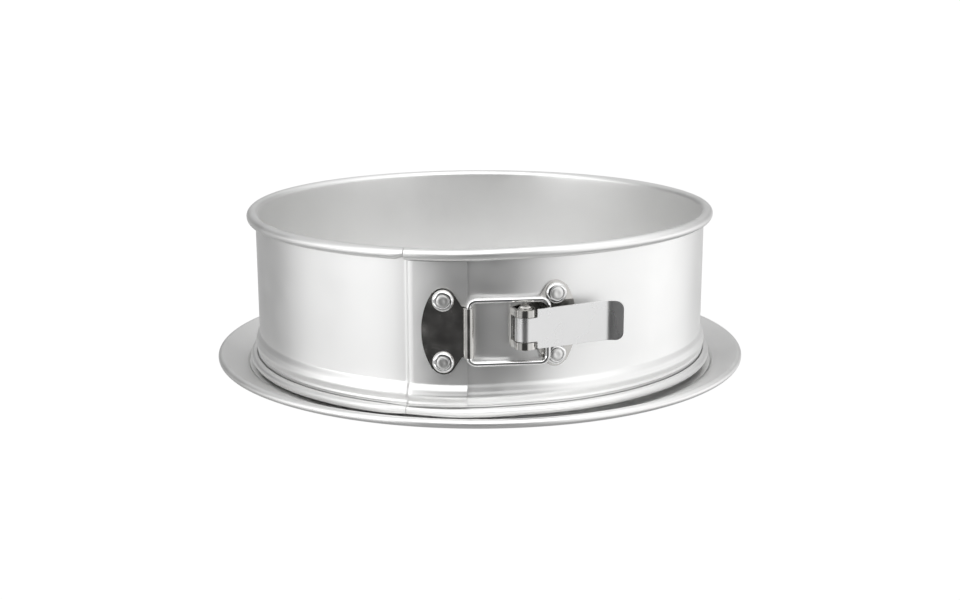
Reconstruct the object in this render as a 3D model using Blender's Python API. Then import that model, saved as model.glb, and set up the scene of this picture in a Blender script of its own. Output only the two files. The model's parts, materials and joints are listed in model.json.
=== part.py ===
"""A 230 mm springform cake pan: a base plate, a band that opens at a lap, and the draw latch that closes it.

Lengths are in millimetres here and become metres as each mesh is made. Plan positions are polar: a radius
and an azimuth in degrees, which is 0 at the front (-Y) and positive towards the right (+X).
"""

from math import acos, asin, atan2, ceil, cos, degrees, hypot, pi, radians, sin, sqrt

import bmesh
import bpy
from mathutils import Matrix, Vector

MM = 0.001
STEP = 7.5  # degrees of azimuth between the sections of the large turned pieces

# The band
SHEET = 1.0
WALL_R = 115.0  # outer face of the wall
WALL_MID = WALL_R - SHEET / 2
BAND_TOP = 80.4
BEAD_TOP_R = 2.2  # middle of the sheet in the rolled rim bead
BEAD_LOW_R = 1.75  # the same in the bead along the band's foot
BEAD_LOW_Z = 5.3
VALLEY_OUT = 1.2  # how far the sheet stands out below the groove, so that the base drops out of it
BULGE_OUT = 2.0
BULGE_TOP, BULGE_LOW = 18.6, 9.9

# The lap: the left end has a plain tongue, which lies over the right end's wall
LAP = -16.2  # azimuth where the two ends' beads meet
LAP_GAP = 0.1  # degrees on each side of it
JOGGLE = (-16.5, -14.8)
TONGUE_END = -2.8
TONGUE_OUT = 1.3
TONGUE_SHEET = 0.9  # thinner than the wall, so that the tongue starts inside it
TONGUE_LOW, TONGUE_TOP = 8.2, 74.6
WALL_END = -14.5  # the right end's wall stops here, under the tongue
REAR_GAP = 0.08  # degrees on each side of the rear split
SPREAD_AXIS = WALL_R + 5.0  # the split's axis is at the rear, just outside the beads

# The base plate
DISC_TOP = 14.5
DISC_R = 114.8  # edge of the raised disc, inside the band's groove
HEM_R = 1.2
RISER_R = 111.9
FOOT_OUT = 120.4
RIM_R = 136.5
RIM_BEAD_R = 1.56
RIM_Z = 4.5

# The latch
STRIKE_Z, BRACKET_Z = 42.1, 44.5  # heights of the two plates' middles
PLATE = 1.0
PLATE_GAP = 0.1
RIVET_UP = 14.1
STRIKE_RIVET, BRACKET_RIVET = -8.0, 17.05
LOBE_R = 5.7
PLATE_REACH = 9.9  # from the rivets' line to the plate's rounded back
NECK = 8.3  # from the rivets' line to the plate's neck
NECK_HALF = 11.8
WIRE_R = 1.25
BAIL_AZIMUTH = -2.35
BAIL_HALF, BAIL_CORNER = 14.5, 3.4
BAIL_FAR = (30.4, -114.85)  # plan position of the bail's right leg
KNUCKLE_HALF = 11.3
PIN_AZIMUTH, PIN_OUT = 9.45, 121.5
PIN_R = 3.3
PIN_HEAD_R = 2.75
EAR_HALF, EAR_SLACK = 8.95, 0.6
SLOT_HALF = 5.7
WEB_OUT = 5.4  # middle of the bracket's web, left of the pin's axis
LEVER_LAY = 24.0  # the lever's direction, in degrees back from +X
LEVER_SHEET = 1.1
LEVER_OUT = PIN_R + 0.2 + LEVER_SHEET / 2  # middle of the lever's strip, out from the pin's axis
LEVER_HALF, TONGUE_HALF = 8.9, 5.4
LEVER_SHOULDER, LEVER_BEND, LEVER_TIP = 3.9, 39.8, 46.7
TIP_BEND = 35.0
TIP_CORNER = 3.8


# Points and outlines


def plan(radius, azimuth):
    turn = radians(azimuth)
    return (radius * sin(turn), -radius * cos(turn))


def arc(centre, radius, start, end, steps):
    turns = [radians(start + (end - start) * i / steps) for i in range(steps + 1)]
    return [(centre[0] + radius * cos(t), centre[1] + radius * sin(t)) for t in turns]


def smooth(value, low, high):
    share = min(max((value - low) / (high - low), 0.0), 1.0)
    return share * share * (3 - 2 * share)


def sheet_normals(path):
    """The mitred left-hand normal at each point of a plan or section path."""
    normals = []
    for i, here in enumerate(path):
        before, after = path[max(i - 1, 0)], path[min(i + 1, len(path) - 1)]
        sides = []
        for a, b in ((before, here), (here, after)):
            run = hypot(b[0] - a[0], b[1] - a[1])
            if run:
                sides.append(((a[1] - b[1]) / run, (b[0] - a[0]) / run))
        first, last = sides[0], sides[-1]
        share = 1 + first[0] * last[0] + first[1] * last[1]
        normals.append(((first[0] + last[0]) / share, (first[1] + last[1]) / share))
    return normals


def sheet_faces(path, thickness):
    """The path moved half the thickness to its left and to its right."""
    half = thickness / 2
    normals = sheet_normals(path)
    left = [(p[0] + n[0] * half, p[1] + n[1] * half) for p, n in zip(path, normals)]
    right = [(p[0] - n[0] * half, p[1] - n[1] * half) for p, n in zip(path, normals)]
    return left, right


def sheet_outline(path, thickness):
    left, right = sheet_faces(path, thickness)
    return left + right[::-1]


# Meshes and objects


def material(name, colour, roughness, metallic):
    made = bpy.data.materials.new(name)
    made.use_nodes = True
    shader = made.node_tree.nodes["Principled BSDF"]
    shader.inputs["Base Color"].default_value = (*colour, 1)
    shader.inputs["Roughness"].default_value = roughness
    shader.inputs["Metallic"].default_value = metallic
    return made


def mesh_through(name, rings, loop=False):
    """A closed mesh through matching rings of points, in metres. Its ends are capped unless it loops round."""
    form = bmesh.new()
    rows = [[form.verts.new(Vector(point) * MM) for point in ring] for ring in rings]
    pairs = list(zip(rows, rows[1:]))
    if loop:
        pairs.append((rows[-1], rows[0]))
    else:
        form.faces.new(rows[0][::-1])
        form.faces.new(rows[-1])
    for near, far in pairs:
        for i in range(len(near)):
            j = (i + 1) % len(near)
            form.faces.new((near[i], near[j], far[j], far[i]))
    bmesh.ops.remove_doubles(form, verts=form.verts, dist=1e-7)
    bmesh.ops.recalc_face_normals(form, faces=form.faces)
    mesh = bpy.data.meshes.new(name)
    form.to_mesh(mesh)
    form.free()
    return mesh


def add(name, mesh, finish, parent=None, location=(0, 0, 0), turn=0.0, tilt=0.0):
    """An object at a place in millimetres, tilted about X and then turned about Z, in degrees."""
    mesh.shade_smooth()
    mesh.set_sharp_from_angle(angle=radians(35))
    if not mesh.materials:
        mesh.materials.append(finish)
    made = bpy.data.objects.new(name, mesh)
    bpy.context.collection.objects.link(made)
    made.location = Vector(location) * MM
    made.rotation_euler = (radians(tilt), 0, radians(turn))
    if parent:
        made.parent = parent
        made.matrix_parent_inverse = Matrix.Translation(-parent.location)
    return made


def cut(target, mesh, operation="DIFFERENCE"):
    """Cuts a mesh, given in world coordinates, from an object, or joins it to the object."""
    tool = bpy.data.objects.new(f"{target.name}_tool", mesh)
    bpy.context.collection.objects.link(tool)
    tool.hide_render = True
    tool.display_type = "WIRE"
    step = target.modifiers.new(operation.title(), "BOOLEAN")
    step.operation = operation
    step.solver = "EXACT"
    step.object = tool


def turned(outline, start, end, move=None, step=STEP):
    """Rings of a section outline (radius, height) swept round the pan's axis.

    move(azimuth) gives how far the section moves out and up there.
    """
    steps = ceil(abs(end - start) / step)
    rings = []
    for i in range(steps + 1):
        azimuth = start + (end - start) * i / steps
        out, up = move(azimuth) if move else (0.0, 0.0)
        rings.append([(*plan(radius + out, azimuth), height + up) for radius, height in outline])
    return rings


def lathe(outline, sides=14):
    """Rings of an outline (radius, height) turned about the local Z axis."""
    turns = [2 * pi * i / sides for i in range(sides)]
    return [[(r * cos(t), r * sin(t), h) for r, h in outline] for t in turns]


def bent_sheet(path, thickness, half_height, middle=0.0):
    """Rings of a sheet that stands on its edge along a plan path, with a half height for each point."""
    left, right = sheet_faces(path, thickness)
    rings = []
    for near, far, half in zip(left, right, half_height):
        low, high = middle - half, middle + half
        rings.append([(*near, low), (*far, low), (*far, high), (*near, high)])
    return rings


def hole(azimuth, height, radius, sides=14):
    """A cutter through the wall, along the radius at that azimuth."""
    rings = []
    across = (*plan(1.0, azimuth + 90), 0.0)
    for reach in (WALL_R - 4, WALL_R + 5):
        centre = Vector((*plan(reach, azimuth), height))
        turns = [2 * pi * i / sides for i in range(sides)]
        rings.append([centre + radius * (Vector(across) * cos(t) + Vector((0, 0, 1)) * sin(t)) for t in turns])
    return mesh_through("hole", rings)


# The base plate


def base_path():
    """The base's sheet from its centre out: disc, hem, riser, foot, flange and rolled rim."""
    disc = DISC_TOP - SHEET / 2
    hem = (DISC_R - SHEET / 2 - HEM_R, disc - HEM_R)
    foot = SHEET / 2
    fillet = 0.7
    rim = (RIM_R - RIM_BEAD_R - SHEET / 2, RIM_Z)
    path = [(0.0, disc)]
    path += arc(hem, HEM_R, 90, -90, 5)
    path += arc((RISER_R + fillet, hem[1] - HEM_R - fillet), fillet, 90, 180, 2)
    path += arc((RISER_R + 1.0, foot + 1.0), 1.0, 180, 270, 2)
    path += [(FOOT_OUT, foot), (FOOT_OUT + 1.1, foot + 0.8)]
    path += arc(rim, RIM_BEAD_R, 95, -160, 7)
    return path


def base_plate(finish):
    rings = turned(sheet_outline(base_path(), SHEET), 0, 360 - STEP)
    return add("base_plate", mesh_through("base_plate", rings, loop=True), finish)


# The band


def groove_path():
    """The wall's lower stretch, downwards: the groove that holds the disc's edge, and the valley below it."""
    drop = BULGE_TOP - BULGE_LOW
    points = [(WALL_MID, BULGE_TOP)]
    for share in (0.25, 0.42, 0.58, 0.8):
        swell = sin(pi * share) ** 0.8
        points.append((WALL_MID + VALLEY_OUT * share + (BULGE_OUT - VALLEY_OUT / 2) * swell, BULGE_TOP - drop * share))
    points.append((WALL_MID + VALLEY_OUT, BULGE_LOW))
    return points


def band_path():
    """The band's sheet from the end of its rim bead, down the wall, to the end of its foot bead."""
    rim = (WALL_MID + BEAD_TOP_R, BAND_TOP - SHEET / 2 - BEAD_TOP_R)
    foot = (WALL_MID + VALLEY_OUT + BEAD_LOW_R, BEAD_LOW_Z)
    path = arc(rim, BEAD_TOP_R, -110, 180, 7)
    path += groove_path()
    path += arc(foot, BEAD_LOW_R, 180, 470, 7)
    return path


def tongue_path():
    return [(WALL_MID, TONGUE_TOP), *groove_path(), (WALL_MID + VALLEY_OUT, TONGUE_LOW)]


def band_move(azimuth):
    """The band's ends hang a little low at the lap, and its right side stands a little high."""
    low = -1.1 * (1 - smooth(azimuth, -9, 14)) * (1 - smooth(-azimuth, 50, 120))
    return 0.0, low + 0.35 * smooth(azimuth, 14, 45) * (1 - smooth(azimuth, 75, 120))


def tongue_move(azimuth):
    start, end = JOGGLE
    share = min(max((azimuth - start) / (end - start), 0.0), 1.0)
    return TONGUE_OUT * share, band_move(azimuth)[1]


def band_left(finish, parent):
    """The half whose end is the plain tongue, which carries the strike plate."""
    outline = sheet_outline(band_path(), SHEET)
    mesh = mesh_through("band_outer_lap", turned(outline, REAR_GAP - 180, LAP - LAP_GAP, band_move))
    band = add("band_outer_lap", mesh, finish, parent)
    outline = sheet_outline(tongue_path(), TONGUE_SHEET)
    rings = turned(outline, JOGGLE[0] - 1, JOGGLE[0], tongue_move)
    rings += turned(outline, JOGGLE[1], TONGUE_END, tongue_move, step=3)
    cut(band, mesh_through("tongue", rings), "UNION")
    for side in (-1, 1):
        cut(band, hole(STRIKE_RIVET, STRIKE_Z + side * RIVET_UP, 2.15))
    return band


def band_right(finish, parent):
    """The half whose wall runs in under the tongue, and which carries the latch's bracket."""
    outline = sheet_outline(band_path(), SHEET)
    mesh = mesh_through("band_inner_lap", turned(outline, LAP + LAP_GAP, 180 - REAR_GAP, band_move))
    band = add("band_inner_lap", mesh, finish, parent)
    low, high = TONGUE_LOW - 0.4, TONGUE_TOP + 0.3
    notch = [(WALL_R - 3, low), (WALL_R + 4, low), (WALL_R + 4, high), (WALL_R - 3, high)]
    cut(band, mesh_through("notch", turned(notch, LAP - 2, WALL_END, band_move)))
    for side in (-1, 1):
        cut(band, hole(BRACKET_RIVET, BRACKET_Z + side * RIVET_UP, 2.15))
    return band


# The latch


def plate_half(along):
    """Half the height of a latch plate, at a distance from its rivets' line towards its neck."""
    back = (PLATE_REACH**2 + RIVET_UP**2 - LOBE_R**2) / (2 * (PLATE_REACH - LOBE_R))
    centre = back - PLATE_REACH
    lean = RIVET_UP / (back - LOBE_R)
    if along < -LOBE_R * sqrt(1 - lean**2):
        return sqrt(max(back**2 - (along - centre) ** 2, 0.0)) + 0.6
    reach = hypot(NECK, RIVET_UP - NECK_HALF)
    touch = acos(LOBE_R / reach) - atan2(RIVET_UP - NECK_HALF, NECK)
    if along < LOBE_R * cos(touch):
        return RIVET_UP + sqrt(LOBE_R**2 - along**2)
    if along < NECK:
        share = (along - LOBE_R * cos(touch)) / (NECK - LOBE_R * cos(touch))
        return RIVET_UP + LOBE_R * sin(touch) + share * (NECK_HALF - RIVET_UP - LOBE_R * sin(touch))
    return NECK_HALF


def plate_stations():
    """Distances from the rivets' line, close together where the outline turns."""
    back = [-PLATE_REACH * cos(radians(turn)) for turn in (0, 12, 24, 36, 48, 60)]
    return back + [-3.2, -1.4, 0.6, 2.4, 3.7, 4.7, NECK]


def plate_path(rivet, radius, side):
    """Plan points of a plate that lies round the wall, from its back to its neck, and their half heights."""
    points = [plan(radius, rivet + side * degrees(along / radius)) for along in plate_stations()]
    return points, [plate_half(along) for along in plate_stations()]


def local(origin, azimuth, points):
    """Plan positions of points given as (to the right, outwards) from an origin at that azimuth."""
    right, out = plan(1.0, azimuth + 90), plan(1.0, azimuth)
    return [(origin[0] + x * right[0] + y * out[0], origin[1] + x * right[1] + y * out[1]) for x, y in points]


STRIKE_MID = WALL_R + TONGUE_OUT + PLATE_GAP + PLATE / 2
KNUCKLE_MID = WIRE_R + 0.2 + PLATE / 2
BAIL_AXIS = plan(STRIKE_MID + KNUCKLE_MID, BAIL_AZIMUTH)
BRACKET_MID = WALL_R + PLATE_GAP + PLATE / 2
PIN_AXIS = plan(PIN_OUT, PIN_AZIMUTH)
EAR_MID = PIN_R + EAR_SLACK + PLATE / 2


def strike_plate(finish, parent):
    """The plate on the tongue, which ends in a curl round the bail's left leg."""
    path, halves = plate_path(STRIKE_RIVET, STRIKE_MID, 1)
    curl = local(BAIL_AXIS, BAIL_AZIMUTH, arc((0, 0), KNUCKLE_MID, -90, 200, 9))
    path += curl
    halves += [KNUCKLE_HALF] * len(curl)
    mesh = mesh_through("strike_plate", bent_sheet(path, PLATE, halves, STRIKE_Z))
    plate = add("strike_plate", mesh, finish, parent)
    for side in (-1, 1):
        cut(plate, hole(STRIKE_RIVET, STRIKE_Z + side * RIVET_UP, 2.15))
    return plate


def bracket(finish, parent):
    """The plate on the right end. It bends out at its neck, and its two ears curl round the pin."""
    path, halves = plate_path(BRACKET_RIVET, BRACKET_MID, -1)
    wall = BRACKET_MID - PIN_OUT
    bend = 1.5
    riser = arc((bend - WEB_OUT, wall + bend), bend, 270, 180, 3) + arc((0, 0), EAR_MID, 190, -75, 12)
    path += local(PIN_AXIS, PIN_AZIMUTH, riser)
    halves += [EAR_HALF] * len(riser)
    mesh = mesh_through("latch_bracket", bent_sheet(path, PLATE, halves, BRACKET_Z))
    plate = add("latch_bracket", mesh, finish, parent)
    far, deep, web = 7.0, wall + PLATE / 2 + 0.35, PLATE / 2 + 0.2 - WEB_OUT
    outline = [(-far, -3.4), (web, -3.4), (web, deep), (far, deep), (far, far), (-far, far)]
    corners = local(PIN_AXIS, PIN_AZIMUTH, outline)
    slot = [[(*corner, BRACKET_Z + up) for corner in corners] for up in (-SLOT_HALF, SLOT_HALF)]
    cut(plate, mesh_through("slot", slot))
    for side in (-1, 1):
        cut(plate, hole(BRACKET_RIVET, BRACKET_Z + side * RIVET_UP, 2.15))
    return plate


def pin(finish, parent):
    """The lever's pivot pin. Each end is a button on a short neck, clear of the ears."""
    end, neck = EAR_HALF + 0.1, EAR_HALF + 0.35
    outline = [(0, -neck - 0.6), (2.2, -neck - 0.6), (PIN_HEAD_R, -neck - 0.3), (PIN_HEAD_R, -neck)]
    outline += [(2.3, -neck), (2.3, -end), (PIN_R, -end), (PIN_R, end), (2.3, end), (2.3, neck)]
    outline += [(PIN_HEAD_R, neck), (PIN_HEAD_R, neck + 0.4), (2.2, neck + 0.8), (0, neck + 0.7)]
    mesh = mesh_through("pivot_pin", lathe(outline), loop=True)
    return add("pivot_pin", mesh, finish, parent, (*PIN_AXIS, BRACKET_Z))


def lever(finish, parent):
    """The strip that closes the latch: curled round the pin, wider past its shoulder, with its tip bent out."""
    path = arc((0, 0), LEVER_OUT, 395, 90, 14)
    halves = [TONGUE_HALF] * len(path)
    for along, half in ((LEVER_SHOULDER, TONGUE_HALF), (LEVER_SHOULDER + 0.05, LEVER_HALF - 0.4)):
        path.append((along, LEVER_OUT))
        halves.append(half)
    for along in (LEVER_SHOULDER + 0.5, LEVER_BEND - 2, LEVER_BEND - 0.6):
        path.append((along, LEVER_OUT))
        halves.append(LEVER_HALF)
    reach = LEVER_TIP - LEVER_BEND
    slope = radians(TIP_BEND)
    for out in (1.0, reach - TIP_CORNER, reach - 1.5, reach - 0.5, reach):
        path.append((LEVER_BEND + out * cos(slope), LEVER_OUT + out * sin(slope)))
        into = max(out - reach + TIP_CORNER, 0.0)
        halves.append(LEVER_HALF - TIP_CORNER + sqrt(TIP_CORNER**2 - into**2))
    rings = bent_sheet([(x, -y) for x, y in path], LEVER_SHEET, halves)
    mesh = mesh_through("latch_lever", rings)
    return add("latch_lever", mesh, finish, parent, (*PIN_AXIS, BRACKET_Z), LEVER_LAY)


def bail(finish, parent):
    """The closed wire loop. Its left leg turns in the strike plate's curl; its right leg lies behind the lever."""
    run = (BAIL_FAR[0] - BAIL_AXIS[0], BAIL_FAR[1] - BAIL_AXIS[1])
    length = hypot(*run)
    far, up, corner = length - BAIL_CORNER, BAIL_HALF - BAIL_CORNER, BAIL_CORNER
    loop = arc((far, up), corner, 0, 90, 4) + arc((corner, up), corner, 90, 180, 4)
    loop += arc((corner, -up), corner, 180, 270, 4) + arc((far, -up), corner, 270, 360, 4)
    _, right = sheet_faces([loop[-1], *loop, loop[0]], 2.0)
    rings = []
    for middle, edge in zip(loop, right[1:-1]):
        out = Vector((edge[0] - middle[0], 0, edge[1] - middle[1])).normalized()
        turns = [2 * pi * i / 8 for i in range(8)]
        centre = Vector((middle[0], 0, middle[1]))
        rings.append([centre + WIRE_R * (out * cos(t) + Vector((0, 1, 0)) * sin(t)) for t in turns])
    mesh = mesh_through("bail", rings, loop=True)
    return add("bail", mesh, finish, parent, (*BAIL_AXIS, STRIKE_Z), degrees(asin(run[1] / length)))


def rivet_mesh(name, tail):
    """A rivet along local +Z, from the plate's face. It ends flush at the tail, or peened past the wall."""
    head = [(1.9, 0.95), (2.85, 0.95), (2.85, 1.6), (2.3, 2.0), (0, 2.1)]
    if tail > -2.2:
        return mesh_through(name, lathe([(0, tail), (1.9, tail), *head]), loop=True)
    foot = [(0, tail - 0.8), (2.4, tail - 0.8), (3.0, tail - 0.4), (3.0, tail), (1.9, tail)]
    return mesh_through(name, lathe(foot + head), loop=True)


def washer_mesh():
    """A domed cup washer. The rivet's head sits in its middle."""
    outline = [(2.15, 0), (4.75, 0), (4.9, 0.35), (4.6, 1.0), (4.0, 1.5), (3.4, 1.7), (3.1, 1.4)]
    outline += [(3.1, 0.7), (2.15, 0.7)]
    return mesh_through("cup_washer", lathe(outline), loop=True)


def fasteners(names, place, face, tail, finishes, parent):
    """The upper and the lower rivet of the plate at a place of (azimuth, height), each with its washer."""
    azimuth, height = place
    rivet, washer = rivet_mesh("rivet", tail), washer_mesh()
    for end, side in (("upper", 1), ("lower", -1)):
        spot = (*plan(face, azimuth), height + side * RIVET_UP)
        add(f"{names}_rivet_{end}", rivet, finishes[0], parent, spot, azimuth, 90)
        add(f"{names}_washer_{end}", washer, finishes[1], parent, spot, azimuth, 90)


def joint_axis(name, location):
    made = bpy.data.objects.new(name, None)
    made.location = Vector(location) * MM
    bpy.context.collection.objects.link(made)
    return made


def main():
    for thing in list(bpy.data.objects):
        bpy.data.objects.remove(thing)
    aluminium = material("anodised_aluminium", (0.68, 0.68, 0.67), 0.42, 1.0)
    plated = material("nickel_plate", (0.62, 0.61, 0.59), 0.12, 1.0)
    stainless = material("stainless_strip", (0.66, 0.66, 0.66), 0.28, 1.0)
    chrome = material("chrome_wire", (0.78, 0.78, 0.78), 0.06, 1.0)
    rivets = material("rivet_aluminium", (0.60, 0.60, 0.59), 0.45, 1.0)

    right = joint_axis("ring_right_slide", (0, 0, 0))
    left = joint_axis("ring_left_spread", (0, SPREAD_AXIS, 0))
    base_plate(aluminium)
    band_left(aluminium, left)
    band_right(aluminium, right)
    strike_plate(plated, left)
    bracket(plated, right)
    pin(plated, right)
    lever(stainless, right)
    bail(chrome, left)
    face = STRIKE_MID + PLATE / 2 + PLATE_GAP
    fasteners("strike", (STRIKE_RIVET, STRIKE_Z), face, WALL_R + 0.45 - face, (rivets, chrome), left)
    face = BRACKET_MID + PLATE / 2 + PLATE_GAP
    fasteners("bracket", (BRACKET_RIVET, BRACKET_Z), face, WALL_R - SHEET - 0.5 - face, (rivets, chrome), right)


main()
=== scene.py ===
"""The looks of a 230 mm springform pan: spun and rolled anodised aluminium, a plated latch and a chrome bail.

Lengths are in millimetres here and become metres as each mesh is made. Plan positions are polar: a radius
and an azimuth in degrees, which is 0 at the front (-Y) and positive towards the right (+X).
"""

import json
from math import acos, asin, atan2, ceil, cos, degrees, hypot, pi, radians, sin, sqrt, tan

import bmesh
import bpy
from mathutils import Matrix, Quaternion, Vector


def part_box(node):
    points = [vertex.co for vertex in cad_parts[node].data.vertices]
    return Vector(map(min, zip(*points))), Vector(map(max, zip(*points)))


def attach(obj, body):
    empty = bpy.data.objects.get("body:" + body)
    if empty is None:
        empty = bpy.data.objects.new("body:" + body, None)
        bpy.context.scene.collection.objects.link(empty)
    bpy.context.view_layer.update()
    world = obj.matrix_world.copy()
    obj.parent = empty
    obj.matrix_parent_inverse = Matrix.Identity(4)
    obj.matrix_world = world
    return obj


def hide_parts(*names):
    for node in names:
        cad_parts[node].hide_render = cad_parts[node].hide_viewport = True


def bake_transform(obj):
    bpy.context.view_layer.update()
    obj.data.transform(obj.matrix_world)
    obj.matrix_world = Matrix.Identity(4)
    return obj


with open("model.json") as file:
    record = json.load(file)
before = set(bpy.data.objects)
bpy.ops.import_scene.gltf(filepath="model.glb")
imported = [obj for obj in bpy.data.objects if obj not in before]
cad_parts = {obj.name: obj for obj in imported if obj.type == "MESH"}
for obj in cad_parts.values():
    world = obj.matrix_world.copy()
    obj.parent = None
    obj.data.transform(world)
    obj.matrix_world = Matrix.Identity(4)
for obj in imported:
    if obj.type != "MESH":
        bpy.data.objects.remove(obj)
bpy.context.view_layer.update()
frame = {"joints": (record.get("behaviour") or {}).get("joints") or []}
JOINTS = {joint["name"]: joint for joint in frame["joints"]}

MM = 0.001
SHARP = 35.0  # edges that turn by more than this many degrees are shaded as creases
LATHE_SIDES = 64

# The band. A bead's radius is to the middle of its sheet, and a place round the band is an azimuth.
SHEET = 1.0
WALL_R = 115.0
WALL_MID = WALL_R - SHEET / 2
BAND_TOP = 80.4
BEAD_TOP_R = 2.2
BEAD_LOW_R = 1.75
BEAD_LOW_Z = 5.3
WALL_ROWS = (60.0, 40.0, 25.0)
BULGE_OUT = 2.0
BULGE_TOP, BULGE_LOW = 18.6, 9.9
BULGE_ROWS = 24
BULGE_RAMP = 0.42  # the share of the bulge's height over which it rises, and over which it falls
VALLEY_OUT = 1.2
VALLEY_MID = WALL_MID + VALLEY_OUT
RIDGE = ((0.05, 9.6), (0.22, 9.3), (0.32, 9.0), (0.22, 8.7), (0.05, 8.45))  # (out of the valley, height)
LAP = -16.55  # where the beads of the two ends meet
LAP_GAP = 0.06
JOGGLE = (-16.75, -15.7)  # where the left end steps out over the right one
WALL_END = -14.6  # where the right end's wall stops, under the tongue
TONGUE_END = -2.8
TONGUE_OUT = 1.32
TONGUE_LOW, TONGUE_TOP = 8.2, 74.6
EDGE_SLACK = 0.1  # tells the points of a bead from those of the tongue's edge
ENDS_LOW, RIGHT_HIGH = 1.1, 0.35  # how far the band hangs at its lap, and stands up on its right
PINCH, PINCH_RUN = 1.5, 2.4  # the lift of the left rim bead's pinched end, and the degrees that it takes
PRESSED = 0.4  # the share by which the foot beads are flattened at the lap
SHALLOWER = 0.5  # the share of the bulge that is missing beside the tongue
SECTION_END = 120.0  # the band's rear stretch runs between this azimuth and its mirror image, round the rear
STEP = 1.5
WHOLE = ("rim", "wall", "foot")  # the cells of the band's section, all of them

# The base plate
DISC_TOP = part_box("base_plate")[1].z / MM
DISC_R = 114.8
HEM_R = 1.2
RISER_R = 111.9
FOOT_OUT = 120.4
RIM_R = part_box("base_plate")[1].x / MM
RIM_BEAD_R = 1.56
RIM_Z = 5.0

# The latch. A plate's lengths are measured from the line of its two rivets.
STRIKE_Z = JOINTS["bail_swing"]["pos_m"][2] / MM
BRACKET_Z = JOINTS["lever_pivot"]["pos_m"][2] / MM
PLATE = 1.0
PLATE_GAP = 0.1
PLATE_ROUNDING, LEVER_ROUNDING = 0.22, 0.4
RIVET_UP = 14.1
STRIKE_RIVET, BRACKET_RIVET = -8.0, 17.05  # the azimuth of each plate's rivets
STRIKE_TAIL, BRACKET_TAIL = WALL_R + 0.45, WALL_R - SHEET - 0.1  # the radius at which its rivets end
LOBE_R = 5.7
PLATE_REACH = 9.9
NECK = 8.3
NECK_HALF = 11.8
WIRE_R = 1.25
BAIL_AXIS = tuple(value / MM for value in JOINTS["bail_swing"]["pos_m"][:2])
BAIL_AZIMUTH = degrees(atan2(BAIL_AXIS[0], -BAIL_AXIS[1]))
BAIL_HALF, BAIL_CORNER = 14.5, 3.4
BAIL_FAR = (30.4, -114.85)
KNUCKLE_HALF = 11.3
PIN_AXIS = tuple(value / MM for value in JOINTS["lever_pivot"]["pos_m"][:2])
PIN_OUT = hypot(*PIN_AXIS)
PIN_AZIMUTH = degrees(atan2(PIN_AXIS[0], -PIN_AXIS[1]))
PIN_R = 3.3
PIN_HEAD_R = 2.75
EAR_HALF, EAR_SLACK = 8.95, 0.6
SLOT_HALF = 5.7
WEB_OUT = 5.4
LEVER_LAY = 24.0
LEVER_SHEET = 1.1
LEVER_OUT = PIN_R + 0.2 + LEVER_SHEET / 2
LEVER_HALF, CURL_HALF = 8.9, 5.4
LEVER_SHOULDER, LEVER_BEND, LEVER_TIP = 3.9, 39.8, 46.7
SHOULDER_CORNER, SHOULDER_LEAN = 0.8, 0.05
SHOULDER_RISE, TIP_RISE = 0.3, 0.5
LOWER_RISE = 0.4  # the lower edge rises by only this share, so the strip widens
TIP_BEND = 35.0
TIP_BEND_R = 7.0
TIP_CORNER = 3.8

STRIKE_MID = WALL_R + 1.3 + PLATE_GAP + PLATE / 2
KNUCKLE_MID = WIRE_R + 0.2 + PLATE / 2
BRACKET_MID = WALL_R + PLATE_GAP + PLATE / 2
EAR_MID = PIN_R + EAR_SLACK + PLATE / 2

# The camera
CAMERA_DISTANCE = 743.0
CAMERA_RISE = 13.51
CAMERA_AIM = (0.1, 28.57)
CAMERA_ROLL = 0.14
LENS = 52.9

# The studio, which surrounds the pan. A ring's stops are (azimuth, level). A column's are (height, level),
# where the height runs from 0, straight down, through 0.5 at the horizon to 1, straight up.
PANELS = [(-180, 0.55), (-150, 0.3), (-122, 0.24), (-104, 0.46), (-84, 1.4), (-66, 1.95), (-40, 2.4)]
PANELS += [(-28, 0.07), (21, 0.07), (29, 0.8), (39, 1.25), (72, 1.27), (92, 1.1), (120, 0.92)]
PANELS += [(141, 0.4), (180, 0.55)]
BROW = [(0.0, 1.0), (0.51, 1.0), (0.56, 0.62), (1.0, 0.62)]
ROOF = [(-180, 0.62), (-90, 0.5), (-40, 1.5), (0, 1.75), (45, 1.55), (90, 0.9), (180, 0.62)]
ROOF_SHARE = [(0.0, 0.0), (0.655, 0.0), (0.79, 1.0), (1.0, 1.0)]
STRIP_RING = [(-180, 0.0), (-96, 0.0), (-80, 1.0), (20, 1.0), (30, 0.5), (80, 0.5), (96, 0.0), (180, 0.0)]
STRIP_COLUMN = [(0.0, 0.0), (0.31, 0.0), (0.34, 1.0), (0.44, 1.0), (0.47, 0.0), (1.0, 0.0)]
STRIP_DEPTH, STRIP_LEVEL = 0.8, 0.03
GROUND_SHARE = [(0.0, 1.0), (0.2, 1.0), (0.36, 0.0), (1.0, 0.0)]
GROUND_LEVEL = 0.25
STUDIO_STRENGTH = 1.2
FLOOR_HALF, FLOOR_DROP = 6000.0, 0.2


# Points and outlines


def plan(radius, azimuth):
    """The plan position of a radius and an azimuth."""
    turn = radians(azimuth)
    return (radius * sin(turn), -radius * cos(turn))


def arc(centre, radius, start, end, steps):
    """Points along an arc, whose angles are in degrees, anticlockwise from the first axis."""
    turns = [radians(start + (end - start) * i / steps) for i in range(steps + 1)]
    return [(centre[0] + radius * cos(t), centre[1] + radius * sin(t)) for t in turns]


def smooth(value, low, high):
    """Goes from 0 to 1, with soft ends, as the value goes from low to high."""
    share = min(max((value - low) / (high - low), 0.0), 1.0)
    return share * share * (3 - 2 * share)


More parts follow.
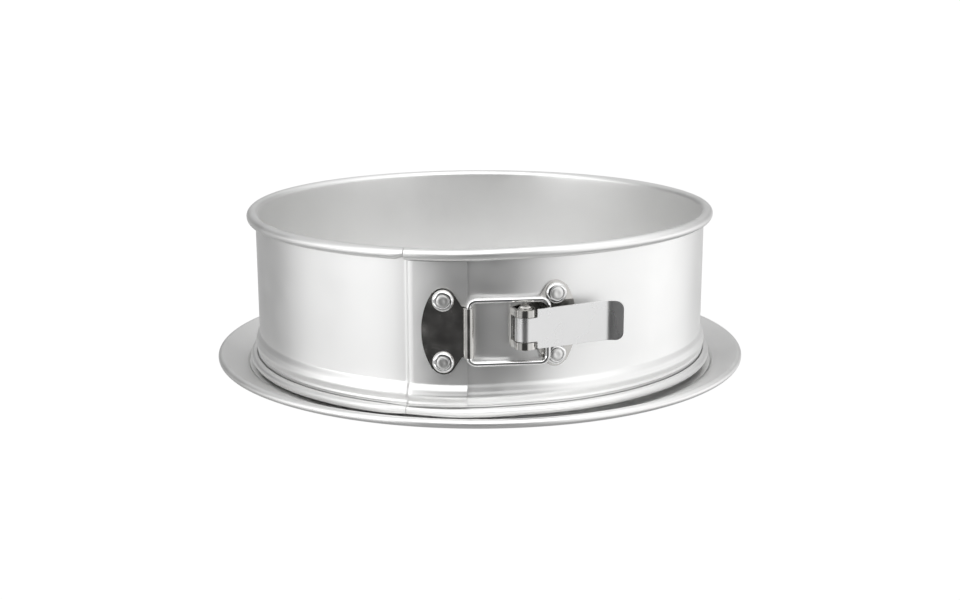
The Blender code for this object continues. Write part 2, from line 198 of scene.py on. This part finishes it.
def sheet_normals(path):
    """The mitred left-hand normal at each point of a plan or section path."""
    normals = []
    for i, here in enumerate(path):
        before, after = path[max(i - 1, 0)], path[min(i + 1, len(path) - 1)]
        sides = []
        for a, b in ((before, here), (here, after)):
            run = hypot(b[0] - a[0], b[1] - a[1])
            if run:
                sides.append(((a[1] - b[1]) / run, (b[0] - a[0]) / run))
        first, last = sides[0], sides[-1]
        share = 1 + first[0] * last[0] + first[1] * last[1]
        normals.append(((first[0] + last[0]) / share, (first[1] + last[1]) / share))
    return normals


def sheet_faces(path, thickness):
    """The two faces of a sheet whose middle follows a path: its left side and its right."""
    half = thickness / 2
    normals = sheet_normals(path)
    left = [(p[0] + n[0] * half, p[1] + n[1] * half) for p, n in zip(path, normals)]
    right = [(p[0] - n[0] * half, p[1] - n[1] * half) for p, n in zip(path, normals)]
    return left, right


# Meshes and objects


def mesh_object(name, form, finish):
    """Turns a bmesh, in millimetres, into an object with one material."""
    bmesh.ops.scale(form, vec=(MM, MM, MM), verts=form.verts)
    bmesh.ops.remove_doubles(form, verts=form.verts, dist=1e-7)
    bmesh.ops.recalc_face_normals(form, faces=form.faces)
    mesh = bpy.data.meshes.new(name)
    form.to_mesh(mesh)
    form.free()
    mesh.shade_smooth()
    mesh.set_sharp_from_angle(angle=radians(SHARP))
    mesh.materials.append(finish)
    made = bpy.data.objects.new(name, mesh)
    bpy.context.collection.objects.link(made)
    return made


def loft(rings, loop=False):
    """A closed bmesh through matching rings of points, capped unless it loops round."""
    form = bmesh.new()
    rows = [[form.verts.new(point) for point in ring] for ring in rings]
    pairs = list(zip(rows, rows[1:]))
    if loop:
        pairs.append((rows[-1], rows[0]))
    else:
        form.faces.new(rows[0][::-1])
        form.faces.new(rows[-1])
    for near, far in pairs:
        for i in range(len(near)):
            j = (i + 1) % len(near)
            form.faces.new((near[i], near[j], far[j], far[i]))
    return form


def lathe(outline):
    """A closed bmesh of an outline (radius, height) turned about the local Z axis."""
    turns = [2 * pi * i / LATHE_SIDES for i in range(LATHE_SIDES)]
    return loft([[(r * cos(t), r * sin(t), h) for r, h in outline] for t in turns], loop=True)


def bent_sheet(path, thickness, half_height, middle=0.0):
    """A sheet that stands on its edge along a plan path, with a half height for each point."""
    left, right = sheet_faces(path, thickness)
    rings = []
    for near, far, half in zip(left, right, half_height):
        low, high = middle - half, middle + half
        rings.append([(*near, low), (*far, low), (*far, high), (*near, high)])
    return loft(rings)


def apply_modifiers(piece):
    """Makes what a piece's modifiers give its mesh."""
    bpy.context.view_layer.update()
    graph = bpy.context.evaluated_depsgraph_get()
    mesh = bpy.data.meshes.new_from_object(piece.evaluated_get(graph))
    piece.modifiers.clear()
    piece.data = mesh


def soften(piece, width):
    """Rounds a piece's edges, which is how a stamped and tumbled part looks."""
    bevel = piece.modifiers.new("Rounding", "BEVEL")
    bevel.width = width * MM
    bevel.segments = 3
    bevel.limit_method = "ANGLE"
    bevel.angle_limit = radians(50)
    apply_modifiers(piece)
    weighted = piece.modifiers.new("Flat faces", "WEIGHTED_NORMAL")
    weighted.weight = 100
    weighted.keep_sharp = True
    piece.data.shade_smooth()
    apply_modifiers(piece)


def carve(piece, tool):
    """Cuts a tool object from a piece and removes the tool."""
    cut = piece.modifiers.new("Cut", "BOOLEAN")
    cut.operation = "DIFFERENCE"
    cut.solver = "EXACT"
    cut.object = tool
    apply_modifiers(piece)
    piece.data.shade_smooth()
    piece.data.set_sharp_from_angle(angle=radians(SHARP))
    bpy.data.objects.remove(tool)


def place(piece, location, turn=0.0, tilt=0.0):
    """Puts a piece at a point, tilted about X and then turned about Z, in degrees."""
    piece.location = Vector(location) * MM
    piece.rotation_euler = (radians(tilt), 0, radians(turn))
    return piece


def settle(piece, body, slot, *nodes):
    """Says which body a piece rides on and the nodes that it stands for, and hides those nodes. The slot is
    not used.
    """
    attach(piece, body)
    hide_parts(*nodes)


# The base plate


def base_path():
    """The base's sheet from its centre out: disc, hem, riser, foot, flange and rolled rim."""
    disc = DISC_TOP - SHEET / 2
    hem = (DISC_R - SHEET / 2 - HEM_R, disc - HEM_R)
    foot = SHEET / 2
    fillet, heel, toe, lip = 0.7, 1.0, 0.9, 1.3  # the radii of the bends, from the hem out to the flange
    rim = (RIM_R - RIM_BEAD_R - SHEET / 2, RIM_Z)
    path = [(0.0, disc), (60.0, disc), (105.0, disc)]
    path += arc(hem, HEM_R, 90, -90, 14)
    path += arc((RISER_R + fillet, hem[1] - HEM_R - fillet), fillet, 90, 180, 6)
    path += arc((RISER_R + heel, foot + heel), heel, 180, 270, 8)
    path += arc((FOOT_OUT, foot + toe), toe, 270, 320, 5)
    path += arc((FOOT_OUT + 2.2, foot - 0.3), lip, 130, 112, 3)
    path += arc(rim, RIM_BEAD_R, 108, -170, 28)
    return path


def make_base(finish):
    """The base plate, turned in one piece."""
    left, right = sheet_faces(base_path(), SHEET)
    outline = left + right[::-1]
    steps = int(360 / STEP)
    rings = [[(*plan(r, 360 * i / steps), z) for r, z in outline] for i in range(steps)]
    base = mesh_object("pan_base", loft(rings, loop=True), finish)
    settle(base, "base", "anodised_aluminium", "base_plate")


# The band


def swell(height):
    """How far the groove's bulge stands out at a height."""
    share = (BULGE_TOP - height) / (BULGE_TOP - BULGE_LOW)
    full = BULGE_OUT - VALLEY_OUT / 2
    return full * smooth(share, 0.0, BULGE_RAMP) * (1 - smooth(share, 1 - BULGE_RAMP, 1.0))


def groove_path():
    """The wall's lower stretch, downwards: the groove that holds the disc's edge, and the valley below it."""
    points = []
    for i in range(BULGE_ROWS + 1):
        share = i / BULGE_ROWS
        height = BULGE_TOP - (BULGE_TOP - BULGE_LOW) * share
        points.append((WALL_MID + VALLEY_OUT * smooth(share, 0.3, 0.9) + swell(height), height))
    return points


def band_cells():
    """The section's outline, and its three cells, rim, wall and foot, as polygons of indices into it."""
    rim = (WALL_MID + BEAD_TOP_R, BAND_TOP - SHEET / 2 - BEAD_TOP_R)
    foot = (VALLEY_MID + BEAD_LOW_R, BEAD_LOW_Z)
    rim_path = arc(rim, BEAD_TOP_R, -110, 180, 26) + [(WALL_MID, TONGUE_TOP)]
    ridge = [(VALLEY_MID + out, z) for out, z in RIDGE]
    wall_path = [(WALL_MID, z) for z in WALL_ROWS] + groove_path() + ridge
    foot_path = [(VALLEY_MID, TONGUE_LOW)] + arc(foot, BEAD_LOW_R, 180, 470, 26)
    path = rim_path + wall_path + foot_path
    left, right = sheet_faces(path, SHEET)
    count = len(path)
    first, last = len(rim_path) - 1, len(rim_path) + len(wall_path)

    def cell(low, high):
        return list(range(low, high + 1)) + [2 * count - 1 - i for i in range(high, low - 1, -1)]

    cells = {"rim": cell(0, first), "wall": cell(first, last), "foot": cell(last, count - 1)}
    return left + right[::-1], cells


def band_form(stations, shape):
    """A bmesh of the section swept through stations of (azimuth, cells in the stretch that follows).

    shape(azimuth, radius, height) gives a point's radius and height there.
    """
    outline, cells = band_cells()
    form = bmesh.new()
    rows = []
    for azimuth, _ in stations:
        places = [shape(azimuth, r, z) for r, z in outline]
        rows.append([form.verts.new((*plan(r, azimuth), z)) for r, z in places])

    def edges(names):
        found = []
        for name in names:
            ring = cells[name]
            found += [(ring[i], ring[(i + 1) % len(ring)]) for i in range(len(ring))]
        return [edge for edge in found if edge[::-1] not in found]

    before = ()
    for i, (_, names) in enumerate(stations):
        for name in WHOLE:
            if (name in before) != (name in names):
                form.faces.new([rows[i][k] for k in cells[name]])
        for a, b in edges(names):
            form.faces.new((rows[i][a], rows[i][b], rows[i + 1][b], rows[i + 1][a]))
        before = names
    loose = [vert for vert in form.verts if not vert.link_faces]
    bmesh.ops.delete(form, geom=loose, context="VERTS")
    return form


def stretch(start, end, cells, step=STEP):
    """Even stations from one azimuth up to another, which is left for the next stretch."""
    count = max(1, ceil(abs(end - start) / step))
    return [(start + (end - start) * i / count, cells) for i in range(count)]


def level(azimuth):
    """How far the band stands above its true height. Its ends hang a little low at the lap."""
    low = ENDS_LOW * (1 - smooth(azimuth, -9, 14)) * (1 - smooth(-azimuth, 50, SECTION_END))
    high = RIGHT_HIGH * smooth(azimuth, 14, 45) * (1 - smooth(azimuth, 75, SECTION_END))
    return high - low


def flattened(radius, height, share):
    """A point of the foot bead, pressed in towards the wall by a share of the bead's size."""
    lower = 0.4 * share  # its height gives way by less
    return radius - share * (radius - VALLEY_MID), height - lower * (height - BEAD_LOW_Z)


def left_shape(azimuth, radius, height):
    """The joggle that lifts the tongue over the other end, and the pinched ends of the two beads."""
    rise = level(azimuth)
    if height > TONGUE_TOP + EDGE_SLACK:
        near = smooth(azimuth, LAP - PINCH_RUN, LAP)
        under = 1 - smooth(height, BAND_TOP - 2 * BEAD_TOP_R - SHEET, BAND_TOP - 1.2)
        lift = PINCH * near * under * smooth(radius, WALL_R, WALL_R + 1.5)
        return radius, height + lift + rise
    if height < TONGUE_LOW - EDGE_SLACK:
        radius, height = flattened(radius, height, PRESSED * smooth(azimuth, LAP - 6, LAP))
        return radius, height + rise
    return radius + TONGUE_OUT * smooth(azimuth, *JOGGLE), height + rise


def right_shape(azimuth, radius, height):
    """The groove's bulge is shallower beside the tongue, where the two ends were pressed together."""
    radius -= SHALLOWER * swell(height) * (1 - smooth(azimuth, 4, 34))
    if height < TONGUE_LOW - EDGE_SLACK:
        radius, height = flattened(radius, height, PRESSED * (1 - smooth(azimuth, LAP + 1, LAP + 14)))
    return radius, height + level(azimuth)


def make_band(finish):
    """The band: a left and a right stretch, each on its own body, and one round the rear whose transform is
    baked in place.
    """
    close = LAP - 3.0  # from here to the tongue the stations stand closer together
    stations = stretch(-SECTION_END, close, WHOLE)
    stations += stretch(close, LAP - LAP_GAP, WHOLE, step=0.3)
    stations += stretch(LAP - LAP_GAP, JOGGLE[1], ("wall",), step=0.2)
    stations += stretch(JOGGLE[1], TONGUE_END, ("wall",), step=1.0) + [(TONGUE_END, ())]
    left = mesh_object("band_left", band_form(stations, left_shape), finish)
    stations = stretch(LAP + LAP_GAP, WALL_END, ("rim", "foot"), step=0.4)
    stations += stretch(WALL_END, SECTION_END, WHOLE) + [(SECTION_END, ())]
    right = mesh_object("band_right", band_form(stations, right_shape), finish)
    stations = stretch(SECTION_END, 360 - SECTION_END, WHOLE) + [(360 - SECTION_END, ())]
    rear = mesh_object("band_rear", band_form(stations, right_shape), finish)
    settle(left, "ring_left", "anodised_aluminium", "band_outer_lap")
    settle(right, "ring_right", "anodised_aluminium", "band_inner_lap")
    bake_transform(rear)
    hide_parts("band_outer_lap", "band_inner_lap")


# The latch


def plate_half(along):
    """Half the height of a latch plate, at a distance from its rivets' line towards its neck.

    Its outline is a broad arc at the back, a lobe round each rivet, a straight run and the neck.
    """
    blunt = 0.6
    back = (PLATE_REACH**2 + RIVET_UP**2 - LOBE_R**2) / (2 * (PLATE_REACH - LOBE_R))
    centre = back - PLATE_REACH
    lean = RIVET_UP / (back - LOBE_R)
    if along < -LOBE_R * sqrt(1 - lean**2):
        return sqrt(max(back**2 - (along - centre) ** 2, 0.0)) + blunt
    reach = hypot(NECK, RIVET_UP - NECK_HALF)
    touch = acos(LOBE_R / reach) - atan2(RIVET_UP - NECK_HALF, NECK)
    if along < LOBE_R * cos(touch):
        return RIVET_UP + sqrt(LOBE_R**2 - along**2)
    if along < NECK:
        share = (along - LOBE_R * cos(touch)) / (NECK - LOBE_R * cos(touch))
        return RIVET_UP + LOBE_R * sin(touch) + share * (NECK_HALF - RIVET_UP - LOBE_R * sin(touch))
    return NECK_HALF


def plate_stations():
    """Distances along a latch plate: close together at its rounded back, then even up to its neck."""
    back = [-PLATE_REACH * cos(radians(turn)) for turn in range(0, 67, 3)]
    even = [0.4 * i - 3.7 for i in range(29)]
    return back + even + [NECK]


def plate_path(rivet, radius, side):
    """A latch plate's plan path and half heights. Its neck is on the side given, 1 for the right."""
    points = [plan(radius, rivet + side * degrees(along / radius)) for along in plate_stations()]
    return points, [plate_half(along) for along in plate_stations()]


def local(origin, azimuth, points):
    """Plan positions of points given as (to the right, outwards) from an origin at that azimuth."""
    right, out = plan(1.0, azimuth + 90), plan(1.0, azimuth)
    return [(origin[0] + x * right[0] + y * out[0], origin[1] + x * right[1] + y * out[1]) for x, y in points]


def make_strike_plate(finish):
    """The strike plate, whose neck curls round the bail's left leg."""
    path, halves = plate_path(STRIKE_RIVET, STRIKE_MID, 1)
    curl = local(BAIL_AXIS, BAIL_AZIMUTH, arc((0, 0), KNUCKLE_MID, -90, 200, 40))
    path += curl
    halves += [KNUCKLE_HALF] * len(curl)
    plate = mesh_object("strike_plate_formed", bent_sheet(path, PLATE, halves, STRIKE_Z), finish)
    soften(plate, PLATE_ROUNDING)
    settle(plate, "ring_left", "nickel_plate", "strike_plate")


def make_bracket(finish):
    """The bracket. Its neck bends out as a web and curls round the pin, and a slot parts it into two ears."""
    path, halves = plate_path(BRACKET_RIVET, BRACKET_MID, -1)
    wall = BRACKET_MID - PIN_OUT
    bend = 1.5
    web_and_curl = arc((bend - WEB_OUT, wall + bend), bend, 270, 180, 10) + arc((0, 0), EAR_MID, 190, -75, 60)
    path += local(PIN_AXIS, PIN_AZIMUTH, web_and_curl)
    halves += [EAR_HALF] * len(web_and_curl)
    plate = mesh_object("bracket_formed", bent_sheet(path, PLATE, halves, BRACKET_Z), finish)
    far, behind = 7.0, -3.4
    web, deep = PLATE / 2 + 0.2 - WEB_OUT, wall + PLATE / 2 + 0.35
    outline = [(-far, behind), (web, behind), (web, deep), (far, deep), (far, far), (-far, far)]
    corners = local(PIN_AXIS, PIN_AZIMUTH, outline)
    slot = loft([[(*corner, BRACKET_Z + up) for corner in corners] for up in (-SLOT_HALF, SLOT_HALF)])
    carve(plate, mesh_object("slot_tool", slot, finish))
    soften(plate, PLATE_ROUNDING)
    settle(plate, "ring_right", "nickel_plate", "latch_bracket")


def make_pin(finish):
    """The pivot pin: each end is a shallow dished button on a short neck, clear of the ears."""
    end, neck, neck_r = EAR_HALF + 0.1, EAR_HALF + 0.35, 2.3
    edge, corner, button = 0.25, 0.2, 0.56
    dish = ((2.0, 0.82), (1.7, 0.84), (1.4, 0.78), (1.0, 0.66), (0.5, 0.58), (0.0, button))
    rim, side = PIN_HEAD_R - edge, PIN_R - corner
    low = [(0.0, -neck - button), (1.8, -neck - button)] + arc((rim, -neck - edge), edge, -70, 90, 8)
    body = [(neck_r, -neck), (neck_r, -end), *arc((side, corner - end), corner, -90, 0, 4)]
    body += [*arc((side, end - corner), corner, 0, 90, 4), (neck_r, end), (neck_r, neck)]
    top = arc((rim, neck + edge), edge, -90, 70, 8) + [(radius, neck + up) for radius, up in dish]
    made = mesh_object("pivot_pin_turned", lathe(low + body + top), finish)
    settle(place(made, (*PIN_AXIS, BRACKET_Z)), "ring_right", "nickel_plate", "pivot_pin")


def lever_stations():
    """The lever's plan path and half heights: its curl round the pin, the strip and the bent tip."""
    path = arc((0, 0), LEVER_OUT, 395, 90, 60)
    halves = [CURL_HALF] * len(path)
    full = LEVER_HALF - SHOULDER_CORNER
    for before, half in ((-0.35, CURL_HALF), (-0.1, CURL_HALF + 0.12), (0.0, CURL_HALF + 0.35)):
        path.append((LEVER_SHOULDER + before, LEVER_OUT))
        halves.append(half)
    for turn in (0, 30, 60, 90):
        past = SHOULDER_LEAN + SHOULDER_CORNER * (1 - cos(radians(turn)))
        path.append((LEVER_SHOULDER + past, LEVER_OUT))
        halves.append(full + SHOULDER_CORNER * sin(radians(turn)))
    for share in (0.25, 0.5, 0.75):
        path.append((LEVER_SHOULDER + share * (LEVER_BEND - LEVER_SHOULDER), LEVER_OUT))
        halves.append(LEVER_HALF)
    start = TIP_BEND_R * tan(radians(TIP_BEND / 2))
    bend = arc((LEVER_BEND - start, LEVER_OUT + TIP_BEND_R), TIP_BEND_R, 270, 270 + TIP_BEND, 10)
    path += bend
    halves += [LEVER_HALF] * len(bend)
    reach = LEVER_TIP - LEVER_BEND
    slope = radians(TIP_BEND)
    outs = [reach - TIP_CORNER * (1 - sin(radians(angle))) for angle in range(0, 88, 8)] + [reach]
    for out in [start + 0.4, *outs]:
        path.append((LEVER_BEND + out * cos(slope), LEVER_OUT + out * sin(slope)))
        into = max(out - reach + TIP_CORNER, 0.0)
        halves.append(LEVER_HALF - TIP_CORNER + sqrt(max(TIP_CORNER**2 - into**2, 0.0)))
    return path, halves


def make_lever(finish):
    """The lever. Past its shoulder it rises a little towards its tip, and widens."""
    path, halves = lever_stations()
    strip = bent_sheet([(x, -y) for x, y in path], LEVER_SHEET, halves)
    for vert in strip.verts:
        if vert.co.x > LEVER_SHOULDER:
            rise = SHOULDER_RISE + TIP_RISE * (vert.co.x - LEVER_SHOULDER) / LEVER_TIP
            vert.co.z += rise if vert.co.z > 0 else LOWER_RISE * rise
    piece = mesh_object("lever_formed", strip, finish)
    soften(piece, LEVER_ROUNDING)
    settle(place(piece, (*PIN_AXIS, BRACKET_Z), LEVER_LAY), "lever", "stainless_strip", "latch_lever")


def make_bail(finish):
    """The bail: a rounded rectangle of wire, drawn from its left leg along X and then turned into place."""
    run = (BAIL_FAR[0] - BAIL_AXIS[0], BAIL_FAR[1] - BAIL_AXIS[1])
    length = hypot(*run)
    far, up, corner = length - BAIL_CORNER, BAIL_HALF - BAIL_CORNER, BAIL_CORNER
    loop = arc((far, up), corner, 0, 90, 14) + arc((corner, up), corner, 90, 180, 14)
    loop += arc((corner, -up), corner, 180, 270, 14) + arc((far, -up), corner, 270, 360, 14)
    _, right = sheet_faces([loop[-1], *loop, loop[0]], 2.0)
    rings = []
    sides = 32
    turns = [2 * pi * i / sides for i in range(sides)]
    for middle, edge in zip(loop, right[1:-1]):
        out = Vector((edge[0] - middle[0], 0, edge[1] - middle[1])).normalized()
        centre = Vector((middle[0], 0, middle[1]))
        rings.append([centre + WIRE_R * (out * cos(t) + Vector((0, 1, 0)) * sin(t)) for t in turns])
    piece = mesh_object("bail_wire", loft(rings, loop=True), finish)
    lay = degrees(asin(run[1] / length))
    settle(place(piece, (*BAIL_AXIS, STRIKE_Z), lay), "bail", "chrome_wire", "bail")


def washer_outline():
    """A domed cup washer: its rim stands on the plate, and it turns down inside to a seat for the rivet."""
    wide, hole, edge, seat = 4.9, 2.15, 0.15, 0.7
    outline = [(hole, 0.0), (wide - edge, 0.0)] + arc((wide - edge, edge), edge, -90, 0, 4)
    turns = [radians(turn) for turn in range(8, 91, 6)]
    crown = [(wide - 1.45 * (1 - cos(turn)), 0.2 + 1.4 * sin(turn)) for turn in turns]
    inner = arc((3.4, 1.35), 0.3, 90, 180, 6)
    return outline + crown + inner + [(3.1, seat), (hole, seat)]


def rivet_outline(tail, clinched):
    """A rivet with a broad, low head, a little dished in its middle, and a second head if it is clinched."""
    shank, under = 1.9, 0.95
    head = [(shank, tail), (shank, under), (2.65, under)] + arc((2.5, 1.5), 0.35, -20, 75, 8)
    head += [(2.3, 1.9), (1.9, 1.98), (1.5, 2.02), (1.1, 2.0), (0.6, 1.95), (0.0, 1.93)]
    if not clinched:
        return [(0.0, tail), *head]
    second = ((0.0, 0.8), (2.0, 0.75), (2.8, 0.45), (3.0, 0.1), (2.9, 0.0))
    return [(radius, tail - below) for radius, below in second] + head


def make_fasteners(plate, spot, middle, tail, body, finishes):
    """A plate's two rivets, each in a cup washer. They end at the tail's radius, clinched inside the wall."""
    azimuth, height = spot
    face = middle + PLATE / 2 + PLATE_GAP
    outline = rivet_outline(tail - face, clinched=tail < WALL_R - SHEET)
    for end, side in (("upper", 1), ("lower", -1)):
        centre = (*plan(face, azimuth), height + side * RIVET_UP)
        rivet = mesh_object(f"{plate}_rivet_{end}_headed", lathe(outline), finishes[0])
        washer = mesh_object(f"{plate}_cup_{end}", lathe(washer_outline()), finishes[1])
        place(rivet, centre, azimuth, 90)
        place(washer, centre, azimuth, 90)
        settle(rivet, body, "rivet_aluminium", f"{plate}_rivet_{end}")
        settle(washer, body, "chrome_washer", f"{plate}_washer_{end}")


# Materials


def colour_ramp(tree, value, stops):
    """A colour ramp through (place, grey or colour) stops."""
    made = tree.nodes.new("ShaderNodeValToRGB")
    points = made.color_ramp.elements
    while len(points) < len(stops):
        points.new(0.5)
    for point, (where, tone) in zip(points, stops):
        point.position = where
        point.color = (*tone, 1) if isinstance(tone, tuple) else (tone, tone, tone, 1)
    tree.links.new(value, made.inputs["Fac"])
    return made.outputs["Color"]


class Nodes:
    """Short calls for building one material's nodes."""

    def __init__(self, name):
        self.material = bpy.data.materials.new(name)
        self.material.use_nodes = True
        self.tree = self.material.node_tree
        self.shader = self.tree.nodes["Principled BSDF"]
        self.place = self.add("ShaderNodeTexCoord").outputs["Object"]

    def add(self, kind):
        return self.tree.nodes.new(kind)

    def link(self, out, into):
        self.tree.links.new(out, into)

    def noise(self, scale, detail, stretch_by=(1, 1, 1)):
        mapping = self.add("ShaderNodeMapping")
        mapping.inputs["Scale"].default_value = stretch_by
        self.link(self.place, mapping.inputs["Vector"])
        made = self.add("ShaderNodeTexNoise")
        made.inputs["Scale"].default_value = scale
        made.inputs["Detail"].default_value = detail
        self.link(mapping.outputs["Vector"], made.inputs["Vector"])
        return made.outputs["Fac"]

    def wander(self, scale, detail, low, high, socket):
        """Lets a socket's value drift between two values over a noise."""
        value = colour_ramp(self.tree, self.noise(scale, detail), ((0.3, low), (0.7, high)))
        self.link(value, self.shader.inputs[socket])

    def bump(self, value, strength, distance, under=None):
        made = self.add("ShaderNodeBump")
        made.inputs["Strength"].default_value = strength
        made.inputs["Distance"].default_value = distance
        self.link(value, made.inputs["Height"])
        if under:
            self.link(under, made.inputs["Normal"])
        return made.outputs["Normal"]


def metal(name, tints, tint_scale, roughness, rough_scale):
    """A metal whose tint and roughness each wander between two values, over noises of the given scales."""
    made = Nodes(name)
    made.shader.inputs["Metallic"].default_value = 1.0
    made.wander(tint_scale, 4.0, *tints, "Base Color")
    made.wander(rough_scale, 3.0, *roughness, "Roughness")
    return made


def anodised():
    """Clear-anodised aluminium: a fine etched tooth, with faint flow marks round the pan."""
    made = metal("anodised_satin", ((0.85, 0.85, 0.845), (0.89, 0.89, 0.885)), 12.0, (0.36, 0.43), 60.0)
    tooth = made.bump(made.noise(2600.0, 2.0), 0.10, 0.00004)
    flow = made.bump(made.noise(30.0, 3.0, (1, 1, 8)), 0.05, 0.0004, tooth)
    made.link(flow, made.shader.inputs["Normal"])
    return made.material


def nickel():
    """Bright plate over a rolled sheet, with a slight waviness and faint smudges."""
    made = metal("nickel_bright", ((0.56, 0.55, 0.53), (0.66, 0.65, 0.63)), 60.0, (0.05, 0.20), 150.0)
    wave = made.bump(made.noise(160.0, 2.0), 0.06, 0.0003)
    made.link(wave, made.shader.inputs["Normal"])
    return made.material


def stainless():
    """A smooth stainless strip."""
    return metal("stainless_fine", (0.74, 0.78), 30.0, (0.24, 0.30), 60.0).material


def chrome(name):
    """Chrome plate, for the bail's wire and the washers."""
    return metal(name, (0.80, 0.86), 80.0, (0.04, 0.10), 150.0).material


def rivet_metal():
    """Drawn aluminium with a matte, hammered head."""
    made = metal("rivet_matte", ((0.76, 0.76, 0.75), (0.84, 0.84, 0.83)), 200.0, (0.30, 0.42), 300.0)
    hammered = made.bump(made.noise(900.0, 2.0), 0.25, 0.0001)
    made.link(hammered, made.shader.inputs["Normal"])
    return made.material


# The setting


def make_camera():
    """The camera, which stands in front, a little above, and is rolled by a hair."""
    rise = radians(CAMERA_RISE)
    camera = bpy.data.objects.new("camera", bpy.data.cameras.new("camera"))
    bpy.context.collection.objects.link(camera)
    aim = Vector((CAMERA_AIM[0], 0, CAMERA_AIM[1])) * MM
    camera.location = aim + Vector((0, -cos(rise), sin(rise))) * CAMERA_DISTANCE * MM
    look = (aim - camera.location).to_track_quat("-Z", "Y")
    camera.rotation_euler = (look @ Quaternion((0, 0, 1), radians(-CAMERA_ROLL))).to_euler()
    camera.data.lens = LENS
    bpy.context.scene.camera = camera


def make_studio():
    """A white studio: bright panels at the sides and above, a darker opening in front, dark below.

    A dark strip lies below the horizon in front, and the camera itself sees plain white.
    """
    world = bpy.data.worlds.new("studio")
    bpy.context.scene.world = world
    world.use_nodes = True
    tree = world.node_tree

    def maths(operation, first, second):
        made = tree.nodes.new("ShaderNodeMath")
        made.operation = operation
        for socket, value in zip(made.inputs, (first, second)):
            if isinstance(value, (int, float)):
                socket.default_value = value
            else:
                tree.links.new(value, socket)
        return made.outputs["Value"]

    def mix(factor, first, second):
        made = tree.nodes.new("ShaderNodeMix")
        made.data_type = "RGBA"
        tree.links.new(factor, made.inputs["Factor"])
        tree.links.new(first, made.inputs["A"])
        if isinstance(second, float):
            made.inputs["B"].default_value = (second, second, second, 1.0)
        else:
            tree.links.new(second, made.inputs["B"])
        return made.outputs["Result"]

    coords = tree.nodes.new("ShaderNodeTexCoord")
    split = tree.nodes.new("ShaderNodeSeparateXYZ")
    tree.links.new(coords.outputs["Generated"], split.inputs["Vector"])
    front = maths("MULTIPLY", split.outputs["Y"], -1.0)
    azimuth = maths("ARCTAN2", split.outputs["X"], front)
    turn = maths("ADD", maths("DIVIDE", azimuth, 2 * pi), 0.5)
    height = maths("ADD", maths("DIVIDE", split.outputs["Z"], 2), 0.5)

    def ring(stops):
        return colour_ramp(tree, turn, [(degree / 360 + 0.5, tone) for degree, tone in stops])

    panels = maths("MULTIPLY", ring(PANELS), colour_ramp(tree, height, BROW))
    lit = mix(colour_ramp(tree, height, ROOF_SHARE), panels, ring(ROOF))
    strip = maths("MULTIPLY", ring(STRIP_RING), colour_ramp(tree, height, STRIP_COLUMN))
    striped = mix(maths("MULTIPLY", strip, STRIP_DEPTH), lit, STRIP_LEVEL)
    grounded = mix(colour_ramp(tree, height, GROUND_SHARE), striped, GROUND_LEVEL)
    rays = tree.nodes.new("ShaderNodeLightPath")
    seen = mix(rays.outputs["Is Camera Ray"], grounded, 1.0)
    background = tree.nodes["Background"]
    tree.links.new(seen, background.inputs["Color"])
    background.inputs["Strength"].default_value = STUDIO_STRENGTH


def make_floor():
    """A white floor. Reflections look past it, into the studio."""
    mesh = bpy.data.meshes.new("floor")
    side = FLOOR_HALF * MM
    corners = [(-side, -side, 0), (side, -side, 0), (side, side, 0), (-side, side, 0)]
    mesh.from_pydata(corners, [], [(0, 1, 2, 3)])
    floor = bpy.data.objects.new("floor", mesh)
    bpy.context.collection.objects.link(floor)
    floor.location.z = -FLOOR_DROP * MM
    finish = bpy.data.materials.new("floor_white")
    finish.use_nodes = True
    tree = finish.node_tree
    shader = tree.nodes["Principled BSDF"]
    shader.inputs["Base Color"].default_value = (0.02, 0.02, 0.02, 1)
    shader.inputs["Roughness"].default_value = 0.9
    shader.inputs["Specular IOR Level"].default_value = 0.0
    shader.inputs["Emission Color"].default_value = (1, 1, 1, 1)
    shader.inputs["Emission Strength"].default_value = 1.0
    rays = tree.nodes.new("ShaderNodeLightPath")
    clear = tree.nodes.new("ShaderNodeBsdfTransparent")
    mix = tree.nodes.new("ShaderNodeMixShader")
    tree.links.new(rays.outputs["Is Glossy Ray"], mix.inputs["Fac"])
    tree.links.new(shader.outputs["BSDF"], mix.inputs[1])
    tree.links.new(clear.outputs["BSDF"], mix.inputs[2])
    tree.links.new(mix.outputs["Shader"], tree.nodes["Material Output"].inputs["Surface"])
    mesh.materials.append(finish)


def main():
    bpy.context.scene.view_settings.view_transform = "Standard"
    make_camera()
    make_studio()
    make_floor()
    aluminium = anodised()
    plated = nickel()
    make_base(aluminium)
    make_band(aluminium)
    make_strike_plate(plated)
    make_bracket(plated)
    make_pin(plated)
    make_lever(stainless())
    make_bail(chrome("chrome_wire_bright"))
    finishes = (rivet_metal(), chrome("chrome_cup_bright"))
    strike, bracket = (STRIKE_RIVET, STRIKE_Z), (BRACKET_RIVET, BRACKET_Z)
    make_fasteners("strike", strike, STRIKE_MID, STRIKE_TAIL, "ring_left", finishes)
    make_fasteners("bracket", bracket, BRACKET_MID, BRACKET_TAIL, "ring_right", finishes)


main()
